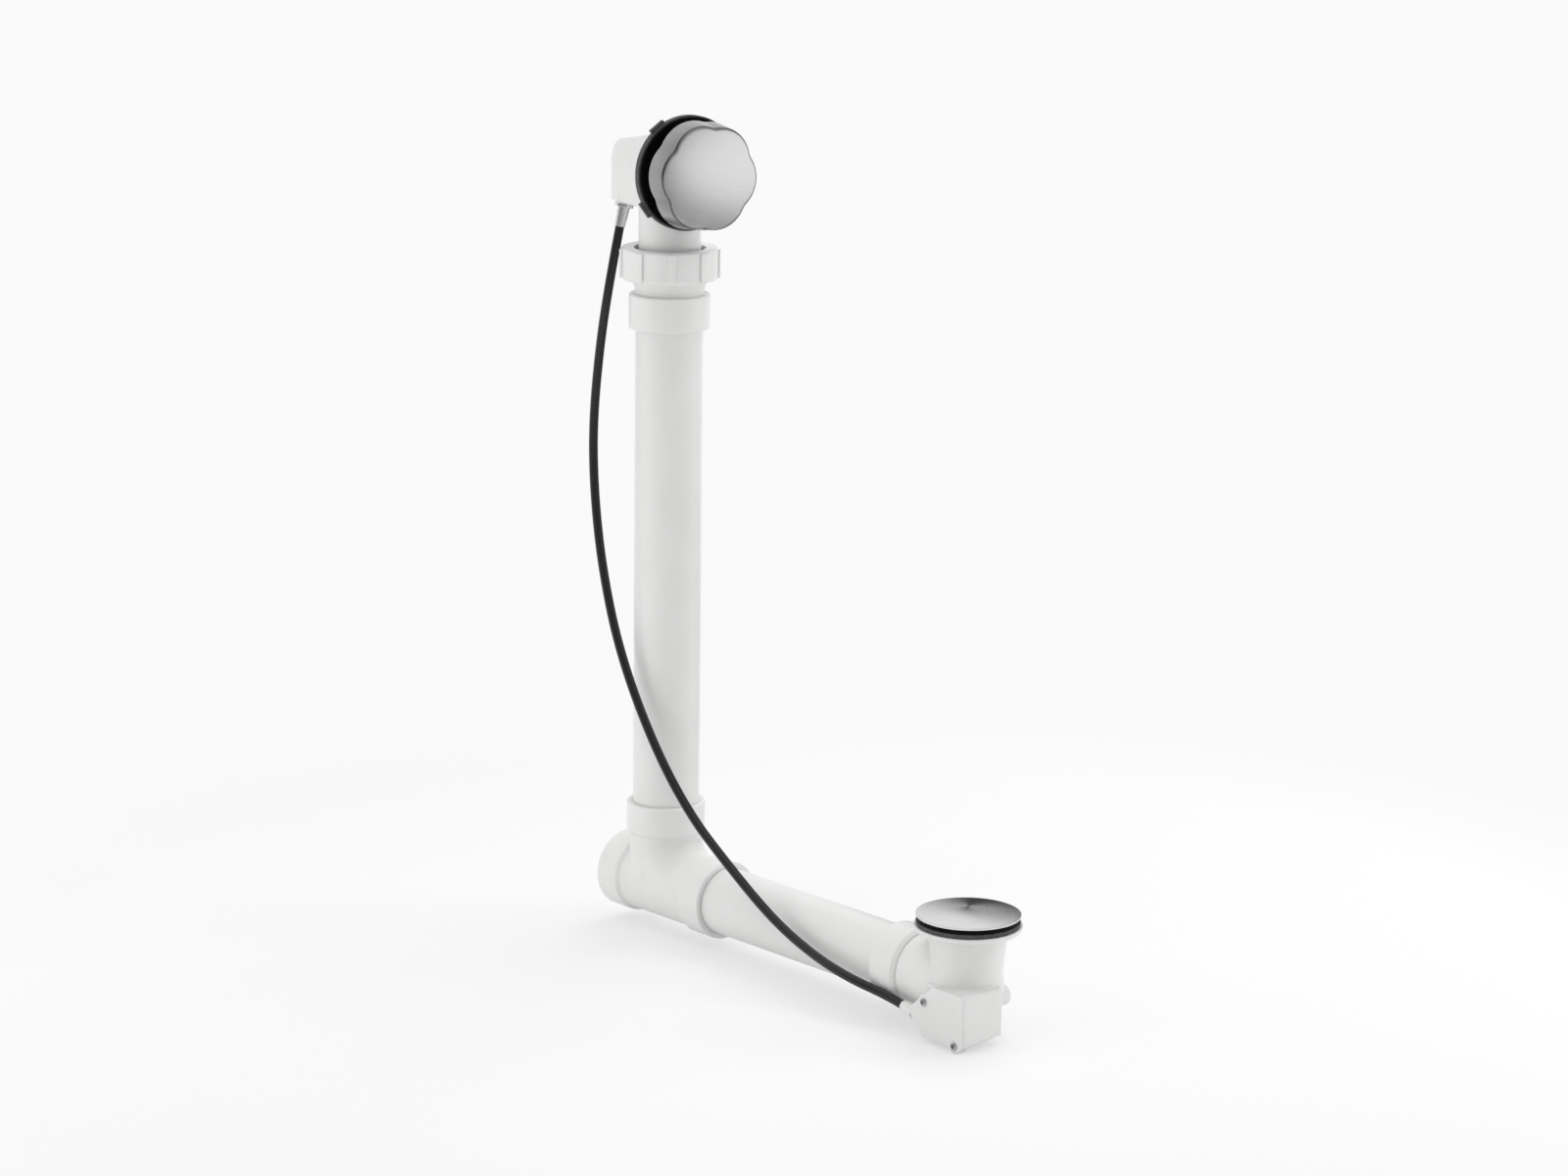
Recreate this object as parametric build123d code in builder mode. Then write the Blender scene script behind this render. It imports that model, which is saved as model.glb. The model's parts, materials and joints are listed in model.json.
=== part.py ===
from build123d import *
import os
from math import atan2, cos, pi, radians, sin, tan

# Cable-operated bath waste and overflow, glued up from plastic pipe and moulded fittings.
# Frame: the origin is the drain's axis on the bath floor's seat (the top of the shoe's gasket).
# +Z is up, +X runs from the overflow pipe towards the drain, and -Y is the cable's side.
# Sizes are in millimetres.

# Layout
overflow_reach = 315.4
waste_drop = 46.0
head_turn = 11.5

# Pipe and glued fittings
pipe_od = 48.26
pipe_wall = 3.68
weld_gap = 0.07
socket_depth = 18.0
hub_wall = 4.2
hub_length = 20.5
hub_shoulder = 3.0
fitting_wall = 5.8
rim_chamfer = 0.8
riser_length = 384.0
tee_back = 44.5
tee_front = 67.5
tee_top = 60.7
sweep_radius = 38.0
sweep_step = 0.4

# Slip joint under the overflow head
adapter_hub_wall = 4.85
adapter_hub_length = 24.4
adapter_neck_wall = 2.225
adapter_flare_od = 55.0
adapter_neck_length = 3.4
adapter_flare_length = 7.6
thread_od = 60.0
thread_length = 15.2
thread_gap = 0.3
nut_wall = 4.5
nut_lip = 3.0
nut_hole_gap = 3.375
nut_skirt = 0.3
nut_rib_count = 9
nut_rib_width = 5.4
nut_rib_height = 1.2
nut_rib_phase = 2.4
washer_height = 3.8
tail_od = 44.45
tail_wall = 3.0
tail_gap = 0.25
tail_entry = 26.0
head_lift = 55.7

# Overflow head, in its own turned axes: forward, across and up
head_back = 43.0
head_half_width = 25.0
head_floor = 26.5
head_shoulder = 20.0
head_back_radius = 18.0
head_crown = 28.0
head_wall = 2.5
head_edge = 2.2
flange_od = 72.0
flange_thickness = 4.0
flange_clear = 0.275
throat_od = 44.0
rear_throat_od = 34.0
bearing_wall = 4.5
bay_front = 25.7
side_cover_gap = 0.1

# Seal, plate and knob in front of the head
wall_gasket_od = 81.0
wall_gasket_thickness = 5.0
gasket_lug_count = 4
gasket_lug_phase = 36.0
gasket_lug_width = 12.0
gasket_lug_height = 2.0
gasket_lug_thickness = 3.2
plate_od = 78.6
plate_thickness = 2.2
plate_hub_od = 16.0
plate_hub_length = 4.5
plate_hole_count = 6
plate_hole_od = 12.6
plate_hole_circle = 31.0
plate_screw_circle = 60.0
plate_screw_od = 3.8
plate_screw_head_od = 7.2
plate_screw_head = 2.1
hole_gap = 0.15
knob_gap = 10.8
knob_od = 79.2
knob_depth = 16.0
knob_draft = 6.9
knob_dome = 4.6
knob_lobes = 6
knob_scallop = 1.9
knob_valley_radius = 14.0
knob_phase = -6.6
knob_wall = 3.6
knob_face_wall = 4.2
knob_boss_od = 15.0
knob_boss_setback = 3.0
knob_rim_round = 0.8
set_screw_od = 4.0
set_screw_key_od = 5.4

# Turning and pulling pieces
spindle_od = 8.0
running_gap = 0.05
loose_gap = 0.35
seal_ring_od = 13.0
seal_ring_thickness = 1.6
knob_swing = 60.0
head_crank_radius = 13.6
crank_hub_od = 13.0
crank_thickness = 3.1
pin_od = 3.5
cable_lean = 13.5
slider_thickness = 3.0
slider_width = 11.0
slider_height = 7.4
wire_od = 1.8
wire_bore = 2.4

# Cable and its two end fittings
cable_od = 6.5
ferrule_boss_od = 14.4
ferrule_boss_height = 5.0
ferrule_flange_od = 13.8
ferrule_flange = 2.4
ferrule_top_od = 9.4
ferrule_tip_od = 7.8
ferrule_length = 16.5
upper_wire_reach = 2.0
upper_sheath_bore = 4.0
nipple_od = 8.6
nipple_length = 12.8
nipple_nose = 4.0
nipple_spigot_od = 5.0
nipple_boss_od = 10.4
nipple_boss_depth = 9.0
lower_wire_shy = 5.0
lower_sheath_bore = 9.0

# Drain shoe and what stands in it
shoe_hub_end = 67.6
shoe_flange_od = 74.0
shoe_flange = 3.3
shoe_gasket_od = 71.0
shoe_gasket_thickness = 3.0
cup_top_wall = 4.7
cup_waist_wall = 3.7
cup_taper = 29.0
cup_step = 0.2
cup_foot = 3.4
cup_foot_sink = 1.0
cup_land = 2.0
elbow_wall = 4.7
strainer_flange = 1.6
strainer_tube_od = 45.0
strainer_wall = 1.9
strainer_depth = 26.0
strainer_spokes = 3
spoke_width = 3.0
spoke_height = 4.0
guide_od = 13.0
guide_height = 10.0
cap_od = 71.6
cap_overhang = 3.3
cap_dome = 5.0
cap_edge = 1.2
cap_wall = 1.6
cap_boss_od = 16.0
cap_height = 3.4
seal_thickness = 1.5
seal_bore = 40.0
seal_lip = 1.3
seal_lip_width = 0.9
stem_od = 8.0
stem_nib_od = 3.6
stem_nib_taper = 4.0
stem_disc_gap = 0.2

# Mechanism box beside the shoe's cup
box_stand = 5.8
box_right = 29.7
box_left = 20.0
box_inner_side = 6.0
box_roof = 5.0
box_floor = 32.6
box_shoulder_run = 21.0
box_shoulder_drop = 18.0
box_cut_run = 12.5
box_cut_rise = 12.8
box_draft = 2.5
box_wall = 2.0
box_corner = 2.4
bay_corner = 0.5
bay_depth = 8.1
cover_thickness = 2.0
cover_rim_round = 0.6
cover_screw_od = 3.2
cover_screw_head_od = 5.4
cover_screw_head = 1.6
cover_screw_recess = 0.9
cover_screw_cross = 3.6
cover_screw_slot = 0.9
screw_boss_od = 10.6
screw_post_od = 8.2
screw_boss_depth = 5.0
cover_screw_depth = 4.2
upper_screw_in = 12.7
upper_screw_down = 12.4
lower_screw_in = 6.9
lower_screw_up = 1.8

# Lifting linkage
shaft_od = 6.0
shaft_drop = 10.0
shaft_seat = 0.9
shaft_boss_od = 14.6
shaft_boss_wall = 1.2
shaft_boss_round = 2.4
arm_rise = 12.0
lift_swing = 71.0
lift_arm_thickness = 6.0
arm_tip_od = 4.4
lever_hub_od = 10.0
shoe_crank_thickness = 2.8
plunger_thickness = 3.0
plunger_slope = 11.0
wire_drop = 15.0
plunger_bar = 3.2
plunger_wrap = 4.4
plunger_tail = 4.0

# Worked-out places
riser_x = -overflow_reach
waste_z = -waste_drop
pipe_r = pipe_od / 2
pipe_bore_r = pipe_r - pipe_wall
socket_r = pipe_r + weld_gap
hub_od = 2 * (socket_r + hub_wall)
fitting_od = 2 * (pipe_bore_r + fitting_wall)
tail_bore_r = tail_od / 2 + tail_gap
adapter_hub_od = 2 * (socket_r + adapter_hub_wall)
adapter_neck_od = 2 * (tail_bore_r + adapter_neck_wall)
nut_hole = tail_od + nut_hole_gap * 2
nut_bore_r = thread_od / 2 + thread_gap
nut_r = nut_bore_r + nut_wall
tee_rim_z = waste_z + tee_top
riser_low_z = tee_rim_z - socket_depth
riser_top_z = riser_low_z + riser_length
adapter_low_z = riser_top_z - socket_depth
adapter_hub_top = adapter_low_z + adapter_hub_length
adapter_neck_top = adapter_hub_top + adapter_neck_length
adapter_flare_top = adapter_neck_top + adapter_flare_length
adapter_top_z = adapter_flare_top + thread_length
washer_top_z = adapter_top_z + washer_height
nut_low_z = adapter_flare_top - nut_skirt
nut_top_z = washer_top_z + nut_lip
tail_low_z = adapter_top_z - tail_entry
overflow_rise = nut_top_z + head_lift

turn = radians(head_turn)
forward = Vector(cos(turn), -sin(turn), 0)
across = Vector(sin(turn), cos(turn), 0)
upward = Vector(0, 0, 1)
head_centre = Vector(riser_x, 0, overflow_rise)
bearing_front = -bay_front + bearing_wall
flange_front = tail_od / 2 + flange_clear
gasket_front = flange_front + wall_gasket_thickness
plate_front = gasket_front + plate_thickness
plate_hub_front = plate_front + plate_hub_length
knob_back = plate_front + knob_gap
knob_edge = knob_back + knob_depth
knob_floor = knob_edge + knob_dome / 2 - knob_face_wall
boss_back = plate_hub_front + knob_boss_setback

# The head's crank pin drives a slotted slider along the leaning line of the cable.
half_swing = radians(knob_swing / 2)
wire_aside = head_crank_radius * (1 + cos(half_swing)) / 2
cable_travel = 2 * head_crank_radius * sin(half_swing)
lean = radians(cable_lean)
pull_side = across * cos(lean) - upward * sin(lean)
pull_up = across * sin(lean) + upward * cos(lean)
wire_back = bay_front + loose_gap * 2 + crank_thickness + slider_thickness / 2
wire_foot = head_centre - forward * wire_back - pull_side * wire_aside
ferrule_boss_end = head_floor + ferrule_boss_height
ferrule_low = ferrule_boss_end + ferrule_length
cable_start = wire_foot - pull_up * ferrule_low

# The shoe's crank and lifting arm share one shaft across the cup.
half_lift = radians(lift_swing / 2)
lift_arm_radius = arm_rise / (2 * sin(half_lift))
shoe_crank_radius = cable_travel / (2 * sin(half_lift))
shaft_x = lift_arm_radius * (1 + cos(half_lift)) / 2
shaft_z = waste_z - shaft_drop
slope = radians(plunger_slope)
push = Vector(cos(slope), 0, -sin(slope))
pull_down = Vector(-sin(slope), 0, -cos(slope))
strainer_bore = strainer_tube_od - strainer_wall * 2
cup_bore = strainer_bore + cup_step * 2
elbow_r = cup_bore / 2 + elbow_wall
cup_waist_r = cup_bore / 2 + cup_waist_wall
cup_top_r = strainer_tube_od / 2 + cup_top_wall
shaft_end = elbow_r + shaft_seat
shaft_boss_end = shaft_end + shaft_boss_wall
box_face = elbow_r + box_stand
bay_floor = box_face - bay_depth
crank_inner = bay_floor + loose_gap
crank_outer = crank_inner + shoe_crank_thickness
plunger_inner = crank_outer + loose_gap
wire_y = plunger_inner + plunger_thickness / 2
pin_reach = plunger_inner + plunger_thickness - loose_gap
wire_line = Vector(shaft_x, -wire_y, shaft_z) + pull_down * wire_drop
nipple_face = (wire_line.X + box_left) / cos(slope)
nipple_shoulder = nipple_length - nipple_od / 2 * tan(slope) - loose_gap
cable_finish = wire_line - push * (nipple_face + nipple_length)

tip_low_z = shaft_z - lift_arm_radius * sin(half_lift)
tip_aside = shaft_x - lift_arm_radius * cos(half_lift)
nib_clearance = (arm_tip_od + stem_nib_od) / 2 + loose_gap
nib_z = tip_low_z + (nib_clearance - tip_aside * sin(half_lift)) / cos(half_lift)
flange_top_z = -shoe_gasket_thickness
flange_low_z = flange_top_z - shoe_flange

# The cable's route, between its two fittings, as corners of straight runs.
cable_first_run = 38.0
cable_last_run = 14.0
cable_route = [
    cable_start,
    cable_start - pull_up * cable_first_run,
    Vector(-362.4, -27.0, 347.0),
    Vector(-364.5, -29.5, 290.5),
    Vector(-360.0, -32.0, 241.0),
    Vector(-347.5, -34.5, 186.0),
    Vector(-326.0, -35.5, 127.0),
    Vector(-289.5, -34.0, 66.0),
    Vector(-251.5, -32.5, 23.5),
    Vector(-212.5, -32.5, -2.5),
    Vector(-166.0, -33.0, -30.0),
    Vector(-126.0, -33.5, -45.5),
    Vector(-84.0, -35.0, -54.0),
    cable_finish - push * cable_last_run,
    cable_finish,
]
bend_share = 0.45

os.makedirs("parts", exist_ok=True)


def save(builder, name):
    """Labels a finished piece and writes it."""
    builder.part.label = name
    export_step(builder.part, f"parts/{name}.step")


def up_plane(x, y, z):
    """Plane at a point, facing up."""
    return Plane(origin=(x, y, z), x_dir=(1, 0, 0), z_dir=(0, 0, 1))


def along_plane(x, y, z):
    """Plane at a point, facing +X."""
    return Plane(origin=(x, y, z), x_dir=(0, 1, 0), z_dir=(1, 0, 0))


def head_plane(distance):
    """Plane across the head's axis, facing the bath, at a distance in front of the riser."""
    return Plane(origin=head_centre + forward * distance, x_dir=across, z_dir=forward)


def pull_plane(distance):
    """Plane across the head's axis, turned so that its y runs up the leaning cable."""
    return Plane(origin=head_centre + forward * distance, x_dir=pull_side, z_dir=forward)


def push_plane(depth):
    """Plane across the shoe's shaft, facing the cable side, with x along the plunger's push."""
    return Plane(origin=(shaft_x, -depth, shaft_z), x_dir=push, z_dir=(0, -1, 0))


def wire_plane(point, direction):
    """Plane at a point of a wire, facing along it."""
    return Plane(origin=point, z_dir=direction)


def lathe(plane, profile, mode=Mode.ADD):
    """Turns a half section of (radius, height) points about the plane's normal."""
    with BuildSketch(Plane(plane.origin, x_dir=plane.x_dir, z_dir=-plane.y_dir)) as section:
        with BuildLine():
            Polyline(*profile, close=True)
        make_face()
    revolve(section.sketch, axis=Axis(plane.origin, plane.z_dir), mode=mode)


def ring(plane, outer, inner, low, high, mode=Mode.ADD):
    """Turns a plain ring between two heights, from its outer and inner diameters."""
    lathe(plane, [(inner / 2, low), (outer / 2, low), (outer / 2, high), (inner / 2, high)], mode)


def disc(plane, outer, low, high, mode=Mode.ADD):
    """Turns a plain disc or rod between two heights."""
    lathe(plane, [(0, low), (outer / 2, low), (outer / 2, high), (0, high)], mode)


def hub_outline(length):
    """Half outline of a glued hub, from its chamfered mouth to the fitting's body."""
    hub_r = hub_od / 2
    return [
        (0, 0),
        (hub_r - rim_chamfer, 0),
        (hub_r, rim_chamfer),
        (hub_r, length),
        (fitting_od / 2, length + hub_shoulder),
    ]


# Waste tee: a run with a hub at each end, and a branch that sweeps towards the drain.
tee_length = tee_back + tee_front
run_plane = along_plane(riser_x - tee_back, 0, waste_z)
front_plane = Plane(origin=(riser_x + tee_front, 0, waste_z), x_dir=(0, 1, 0), z_dir=(-1, 0, 0))
branch_plane = Plane(origin=(riser_x, 0, tee_rim_z), x_dir=(1, 0, 0), z_dir=(0, 0, -1))
sweep_axis = Axis((riser_x + sweep_radius, 0, waste_z + sweep_radius), (0, 1, 0))
sweep_start = up_plane(riser_x, 0, waste_z + sweep_radius)

with BuildPart() as tee:
    lathe(run_plane, hub_outline(hub_length) + [(fitting_od / 2, tee_length / 2), (0, tee_length / 2)])
    lathe(front_plane, hub_outline(hub_length) + [(fitting_od / 2, tee_length / 2), (0, tee_length / 2)])
    lathe(branch_plane, hub_outline(hub_length) + [(fitting_od / 2, tee_top), (0, tee_top)])
    with BuildSketch(sweep_start):
        Circle(fitting_od / 2 - sweep_step)
    revolve(axis=sweep_axis, revolution_arc=-90)
    disc(run_plane, pipe_bore_r * 2, 0, tee_length, Mode.SUBTRACT)
    disc(branch_plane, pipe_bore_r * 2, 0, tee_top, Mode.SUBTRACT)
    with BuildSketch(sweep_start):
        Circle(pipe_bore_r - sweep_step)
    revolve(axis=sweep_axis, revolution_arc=-90, mode=Mode.SUBTRACT)
    for mouth in (run_plane, front_plane, branch_plane):
        disc(mouth, socket_r * 2, 0, socket_depth, Mode.SUBTRACT)
save(tee, "tee")

# The two glued pipes.
waste_start = riser_x + tee_front - socket_depth
waste_end = -shoe_hub_end + socket_depth
with BuildPart() as waste_pipe:
    ring(along_plane(waste_start, 0, waste_z), pipe_od, pipe_bore_r * 2, 0, waste_end - waste_start)
save(waste_pipe, "waste_pipe")

with BuildPart() as overflow_pipe:
    ring(up_plane(riser_x, 0, riser_low_z), pipe_od, pipe_bore_r * 2, 0, riser_length)
save(overflow_pipe, "overflow_pipe")

# Slip adapter: a glued hub below, a flared neck, and a threaded top that takes the head's tail.
riser_plane = up_plane(riser_x, 0, 0)
with BuildPart() as slip_adapter:
    adapter_r = adapter_hub_od / 2
    lathe(
        riser_plane,
        [
            (0, adapter_low_z),
            (adapter_r - rim_chamfer, adapter_low_z),
            (adapter_r, adapter_low_z + rim_chamfer),
            (adapter_r, adapter_hub_top - rim_chamfer),
            (adapter_r - rim_chamfer, adapter_hub_top),
            (adapter_neck_od / 2, adapter_hub_top),
            (adapter_neck_od / 2, adapter_neck_top),
            (adapter_flare_od / 2, adapter_flare_top),
            (thread_od / 2, adapter_flare_top),
            (thread_od / 2, adapter_top_z),
            (0, adapter_top_z),
        ],
    )
    disc(riser_plane, pipe_bore_r * 2, adapter_low_z, adapter_top_z, Mode.SUBTRACT)
    disc(riser_plane, socket_r * 2, adapter_low_z, riser_top_z, Mode.SUBTRACT)
    disc(riser_plane, tail_bore_r * 2, tail_low_z, adapter_top_z, Mode.SUBTRACT)
save(slip_adapter, "slip_adapter")

with BuildPart() as slip_washer:
    lathe(
        riser_plane,
        [
            (tail_bore_r, adapter_top_z),
            (thread_od / 2, adapter_top_z),
            (thread_od / 2, adapter_top_z + washer_height / 2),
            (nut_hole / 2, washer_top_z),
            (tail_bore_r, washer_top_z),
        ],
    )
save(slip_washer, "slip_washer")

with BuildPart() as slip_nut:
    lathe(
        riser_plane,
        [
            (nut_bore_r, nut_low_z),
            (nut_r - rim_chamfer * 2, nut_low_z),
            (nut_r, nut_low_z + rim_chamfer * 2),
            (nut_r, nut_top_z - rim_chamfer),
            (nut_r - rim_chamfer, nut_top_z),
            (nut_hole / 2, nut_top_z),
            (nut_hole / 2, washer_top_z),
            (nut_bore_r, washer_top_z),
        ],
    )
    rib_span = nut_top_z - nut_low_z - rim_chamfer * 3
    with BuildSketch(up_plane(riser_x, 0, nut_low_z + rim_chamfer * 2)):
        with PolarLocations(nut_r, nut_rib_count, start_angle=nut_rib_phase):
            Rectangle(nut_rib_height * 2, nut_rib_width)
    extrude(amount=rib_span)
save(slip_nut, "slip_nut")

# Overflow head: a hollow elbow with a tail below, a flange in front and a mechanism bay behind.
side_plane = Plane(origin=head_centre, x_dir=forward, z_dir=-across)
upper_line = wire_plane(wire_foot, -pull_up)
crown_run = flange_front - flange_thickness
shoulder_x = -head_back + head_back_radius


def head_side(inset):
    """Side outline of the head's housing, drawn in from its outside by a wall."""
    back = -head_back + inset
    radius = head_back_radius - inset
    arc_z = head_shoulder - head_back_radius
    with BuildSketch(side_plane) as outline:
        with BuildLine():
            Polyline(
                (shoulder_x, head_shoulder - inset),
                (crown_run, head_crown - inset),
                (crown_run, -head_floor + inset),
                (back, -head_floor + inset),
                (back, arc_z),
            )
            RadiusArc((back, arc_z), (shoulder_x, head_shoulder - inset), radius)
        make_face()
    return outline.sketch


with BuildPart() as bay:
    extrude(head_side(head_wall), amount=head_half_width, both=True)
    split(bisect_by=head_plane(-bay_front), keep=Keep.BOTTOM)
    split(
        bisect_by=Plane(origin=head_centre - across * (head_half_width - head_wall), z_dir=across),
        keep=Keep.TOP,
    )

with BuildPart() as overflow_head:
    extrude(head_side(0), amount=head_half_width, both=True)
    fillet(overflow_head.faces().filter_by(Axis(head_centre, across)).edges(), head_edge)
    disc(head_plane(0), flange_od, flange_front - flange_thickness, flange_front)
    disc(riser_plane, tail_od, tail_low_z + tail_gap, overflow_rise - head_floor + head_wall)
    disc(upper_line, ferrule_boss_od, head_floor - head_wall, ferrule_boss_end)
    disc(head_plane(0), throat_od, 0, flange_front, Mode.SUBTRACT)
    disc(head_plane(0), rear_throat_od, bearing_front, flange_front, Mode.SUBTRACT)
    disc(riser_plane, tail_od - tail_wall * 2, tail_low_z, overflow_rise, Mode.SUBTRACT)
    add(bay.part, mode=Mode.SUBTRACT)
    disc(head_plane(0), spindle_od + running_gap * 2, -bay_front, 0, Mode.SUBTRACT)
    disc(head_plane(bearing_front), seal_ring_od, -seal_ring_thickness, 0, Mode.SUBTRACT)
    disc(upper_line, wire_bore, head_floor - head_wall * 2, ferrule_boss_end, Mode.SUBTRACT)
    with BuildSketch(head_plane(flange_front)):
        with PolarLocations(plate_screw_circle / 2, 2):
            Circle(plate_screw_od / 2)
    extrude(amount=-flange_thickness, mode=Mode.SUBTRACT)
save(overflow_head, "overflow_head")

# Inset cover on the far side of the bay.
with BuildPart() as head_side_cover:
    extrude(head_side(head_wall + side_cover_gap), amount=head_half_width, both=True)
    split(bisect_by=head_plane(-bay_front - side_cover_gap), keep=Keep.BOTTOM)
    split(
        bisect_by=Plane(origin=head_centre + across * (head_half_width - head_wall), z_dir=across),
        keep=Keep.TOP,
    )
save(head_side_cover, "head_side_cover")

with BuildPart() as spindle_seal:
    ring(
        head_plane(bearing_front),
        seal_ring_od,
        spindle_od + running_gap * 2,
        -seal_ring_thickness,
        0,
    )
save(spindle_seal, "spindle_seal")

# Rubber gasket that seals the head to the back of the bath wall.
with BuildPart() as overflow_gasket:
    ring(head_plane(flange_front), wall_gasket_od, throat_od, 0, wall_gasket_thickness)
    with BuildSketch(head_plane(flange_front)):
        with PolarLocations(wall_gasket_od / 2, gasket_lug_count, start_angle=gasket_lug_phase):
            Rectangle(gasket_lug_height * 2, gasket_lug_width)
    extrude(amount=gasket_lug_thickness)
    with BuildSketch(head_plane(flange_front)):
        with PolarLocations(plate_screw_circle / 2, 2):
            Circle(plate_screw_od / 2 + hole_gap)
    extrude(amount=wall_gasket_thickness, mode=Mode.SUBTRACT)
save(overflow_gasket, "overflow_gasket")

# Black plate that clamps the bath wall, lets the overflow in and steadies the spindle.
with BuildPart() as overflow_plate:
    disc(head_plane(gasket_front), plate_od, 0, plate_thickness)
    disc(head_plane(plate_front), plate_hub_od, 0, plate_hub_length)
    disc(
        head_plane(gasket_front),
        spindle_od + running_gap * 2,
        0,
        plate_thickness + plate_hub_length,
        Mode.SUBTRACT,
    )
    with BuildSketch(head_plane(gasket_front)):
        with PolarLocations(plate_hole_circle / 2, plate_hole_count, start_angle=gasket_lug_phase):
            Circle(plate_hole_od / 2)
        with PolarLocations(plate_screw_circle / 2, 2):
            Circle(plate_screw_od / 2 + hole_gap)
    extrude(amount=plate_thickness, mode=Mode.SUBTRACT)
save(overflow_plate, "overflow_plate")

with BuildPart() as plate_screws:
    for side in (-1, 1):
        seat = Plane(
            origin=head_centre + forward * plate_front + across * (side * plate_screw_circle / 2),
            x_dir=across,
            z_dir=forward,
        )
        shank = plate_front - flange_front + flange_thickness
        disc(seat, plate_screw_od, -shank, 0)
        disc(seat, plate_screw_head_od, 0, plate_screw_head)
save(plate_screws, "plate_screws")

# Knob: a scalloped skirt that narrows towards a low domed face, with a boss for the spindle.
knob_r = knob_od / 2
knob_cavity_od = knob_od - 2 * (knob_scallop + knob_wall)
face_sphere_r = (knob_r**2 + knob_dome**2) / (2 * knob_dome)
half_lobe = radians(180 / knob_lobes)

# Each lobe's arc and the valley's arc beside it meet with no corner.
lobe_reach = knob_r + knob_valley_radius
valley_centre = lobe_reach - knob_scallop
lobe_centre = (lobe_reach**2 - valley_centre**2) / (2 * (lobe_reach - valley_centre * cos(half_lobe)))
lobe_radius = knob_r - lobe_centre
meeting_way = atan2(valley_centre * sin(half_lobe), valley_centre * cos(half_lobe) - lobe_centre)
meeting = Vector(lobe_centre + lobe_radius * cos(meeting_way), lobe_radius * sin(meeting_way))


def knob_outline():
    """Scalloped rim: broad round lobes with narrow valleys between them."""
    valley_point = Vector(knob_r - knob_scallop, 0)
    with BuildLine() as outline:
        for lobe in range(knob_lobes):
            around = knob_phase + 360 * lobe / knob_lobes
            next_around = around + 360 / knob_lobes
            lobe_end = meeting.rotate(Axis.Z, around)
            next_start = Vector(meeting.X, -meeting.Y).rotate(Axis.Z, next_around)
            ThreePointArc(
                Vector(meeting.X, -meeting.Y).rotate(Axis.Z, around),
                Vector(knob_r, 0).rotate(Axis.Z, around),
                lobe_end,
            )
            ThreePointArc(lobe_end, valley_point.rotate(Axis.Z, (around + next_around) / 2), next_start)
    make_face(outline.edges())


with BuildPart() as knob:
    with BuildSketch(head_plane(knob_back)):
        knob_outline()
    extrude(amount=knob_depth + knob_dome, taper=knob_draft)
    with BuildSketch(side_plane):
        with BuildLine():
            crown = (knob_edge + knob_dome, 0)
            sphere_rim = (knob_edge, knob_r)
            Polyline(crown, (knob_back - knob_dome, 0), (knob_back - knob_dome, knob_r), sphere_rim)
            RadiusArc(sphere_rim, crown, face_sphere_r)
        make_face()
    revolve(axis=Axis(head_centre, forward), mode=Mode.INTERSECT)
    face = knob.faces().sort_by(Axis(head_centre, forward))[-1]
    fillet(face.edges(), knob_rim_round)
    disc(head_plane(0), knob_cavity_od, knob_back, knob_floor, Mode.SUBTRACT)
    disc(head_plane(0), knob_boss_od, boss_back, knob_floor + knob_face_wall / 2)
    disc(head_plane(0), spindle_od + running_gap, boss_back, knob_floor, Mode.SUBTRACT)
    screw_plane = Plane(
        origin=head_centre + forward * ((boss_back + knob_floor) / 2), x_dir=across, z_dir=-upward
    )
    disc(screw_plane, set_screw_od, 0, knob_boss_od, Mode.SUBTRACT)
    disc(screw_plane, set_screw_key_od, knob_boss_od, knob_od, Mode.SUBTRACT)
save(knob, "knob")

with BuildPart() as knob_set_screw:
    disc(screw_plane, set_screw_od - running_gap, spindle_od / 2 + running_gap, knob_boss_od / 2)
save(knob_set_screw, "knob_set_screw")

with BuildPart() as spindle:
    spindle_back = -bay_front - loose_gap - crank_thickness
    disc(head_plane(0), spindle_od, spindle_back, knob_floor - running_gap)
save(spindle, "spindle")

# Crank on the spindle, at rest with its pin low, and the slotted slider that it lifts.
crank_front = -bay_front - loose_gap
slider_front = crank_front - crank_thickness - loose_gap
pin_aside = -head_crank_radius * cos(half_swing)
pin_rest = -head_crank_radius * sin(half_swing)


def crank_shape(hub_od, pin_place):
    """Flat crank: a round hub joined to a round end about its pin."""
    Circle(hub_od / 2)
    with Locations(pin_place):
        Circle(pin_od)
    make_hull()


with BuildPart() as head_crank:
    with BuildSketch(pull_plane(crank_front)):
        crank_shape(crank_hub_od, (pin_aside, pin_rest))
    extrude(amount=-crank_thickness)
    with BuildSketch(pull_plane(crank_front - crank_thickness)):
        with Locations((pin_aside, pin_rest)):
            Circle(pin_od / 2)
    extrude(amount=-slider_thickness - loose_gap * 2)
    disc(head_plane(0), spindle_od + running_gap, spindle_back, crank_front, Mode.SUBTRACT)
save(head_crank, "head_crank")

slot_width = pin_od + loose_gap * 2
slot_length = head_crank_radius * (1 - cos(half_swing)) + slot_width
with BuildPart() as slider:
    with BuildSketch(pull_plane(slider_front)):
        with Locations((-wire_aside, pin_rest)):
            RectangleRounded(slider_width, slider_height, rim_chamfer)
            SlotOverall(slot_length, slot_width, mode=Mode.SUBTRACT)
    extrude(amount=-slider_thickness)
save(slider, "slider")

slider_foot = slider_height / 2 - pin_rest
with BuildPart() as upper_wire:
    disc(upper_line, wire_od, slider_foot, ferrule_low + upper_wire_reach)
save(upper_wire, "upper_wire")

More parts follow.
